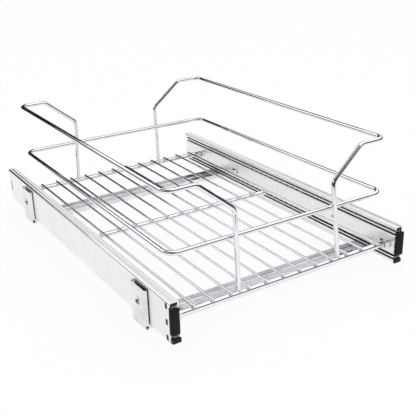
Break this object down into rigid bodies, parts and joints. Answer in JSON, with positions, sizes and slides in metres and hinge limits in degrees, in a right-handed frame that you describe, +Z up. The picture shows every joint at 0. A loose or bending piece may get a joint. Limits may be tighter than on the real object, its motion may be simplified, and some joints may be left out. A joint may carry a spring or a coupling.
{
  "type": "pull-out basket",
  "caption": "Chromed wire basket that pulls out of a base cabinet on a pair of full-extension ball slides joined by two cross-members.",
  "frame": {"origin": "centre of the closed object's footprint, on the cabinet floor that the cross-members stand on", "axes": "+X to the right, +Y to the back of the cabinet, +Z up; the basket pulls out along -Y"},
  "size_m": [0.372, 0.555, 0.182],
  "materials": {
    "chrome_wire": "bright chrome plate",
    "zinc_steel": "satin zinc plate",
    "cage_steel": "satin zinc plate",
    "ball_steel": "polished",
    "screw_steel": "yellow zinc plate",
    "black_plastic": "matte",
    "black_rubber": "matte"
  },
  "bodies": {
    "frame": {"outer_member_left": "zinc_steel", "outer_member_right": "zinc_steel", "front_cap_left": "black_plastic", "front_cap_right": "black_plastic", "front_cross_member": "zinc_steel", "rear_cross_member": "zinc_steel", "front_bracket_screws": "screw_steel", "rear_bracket_screws": "screw_steel"},
    "basket": {"inner_member_left": "zinc_steel", "inner_member_right": "zinc_steel", "bumper_left": "black_rubber", "bumper_right": "black_rubber", "side_rail_left": "chrome_wire", "side_rail_right": "chrome_wire", "middle_loop": "chrome_wire", "front_rod": "chrome_wire", "middle_rod": "chrome_wire", "rear_rod": "chrome_wire", "floor_wire_01": "chrome_wire", "floor_wire_02": "chrome_wire", "floor_wire_03": "chrome_wire", "floor_wire_04": "chrome_wire", "floor_wire_05": "chrome_wire", "floor_wire_06": "chrome_wire", "floor_wire_07": "chrome_wire", "floor_wire_08": "chrome_wire", "floor_wire_09": "chrome_wire", "floor_wire_10": "chrome_wire", "floor_wire_11": "chrome_wire", "floor_wire_12": "chrome_wire"},
    "middle_left": {"middle_member_left": "zinc_steel"},
    "outer_cage_left": {"outer_ball_cage_left": "cage_steel", "outer_balls_left": "ball_steel"},
    "inner_cage_left": {"inner_ball_cage_left": "cage_steel", "inner_balls_left": "ball_steel"},
    "middle_right": {"middle_member_right": "zinc_steel"},
    "outer_cage_right": {"outer_ball_cage_right": "cage_steel", "outer_balls_right": "ball_steel"},
    "inner_cage_right": {"inner_ball_cage_right": "cage_steel", "inner_balls_right": "ball_steel"}
  },
  "joints": [
    {"name": "basket_slide", "type": "slide", "parent": "frame", "child": "basket", "axis": [0, -1, 0], "range_m": [0, 0.55]},
    {"name": "middle_left_slide", "type": "slide", "parent": "frame", "child": "middle_left", "axis": [0, -1, 0], "range_m": [0, 0.275]},
    {"name": "outer_cage_left_slide", "type": "slide", "parent": "frame", "child": "outer_cage_left", "axis": [0, -1, 0], "range_m": [0, 0.1375]},
    {"name": "inner_cage_left_slide", "type": "slide", "parent": "frame", "child": "inner_cage_left", "axis": [0, -1, 0], "range_m": [0, 0.4125]},
    {"name": "middle_right_slide", "type": "slide", "parent": "frame", "child": "middle_right", "axis": [0, -1, 0], "range_m": [0, 0.275]},
    {"name": "outer_cage_right_slide", "type": "slide", "parent": "frame", "child": "outer_cage_right", "axis": [0, -1, 0], "range_m": [0, 0.1375]},
    {"name": "inner_cage_right_slide", "type": "slide", "parent": "frame", "child": "inner_cage_right", "axis": [0, -1, 0], "range_m": [0, 0.4125]}
  ],
  "couplings": [
    {"joint": "middle_left_slide", "follows": "basket_slide", "ratio": 0.5},
    {"joint": "outer_cage_left_slide", "follows": "basket_slide", "ratio": 0.25},
    {"joint": "inner_cage_left_slide", "follows": "basket_slide", "ratio": 0.75},
    {"joint": "middle_right_slide", "follows": "basket_slide", "ratio": 0.5},
    {"joint": "outer_cage_right_slide", "follows": "basket_slide", "ratio": 0.25},
    {"joint": "inner_cage_right_slide", "follows": "basket_slide", "ratio": 0.75}
  ]
}
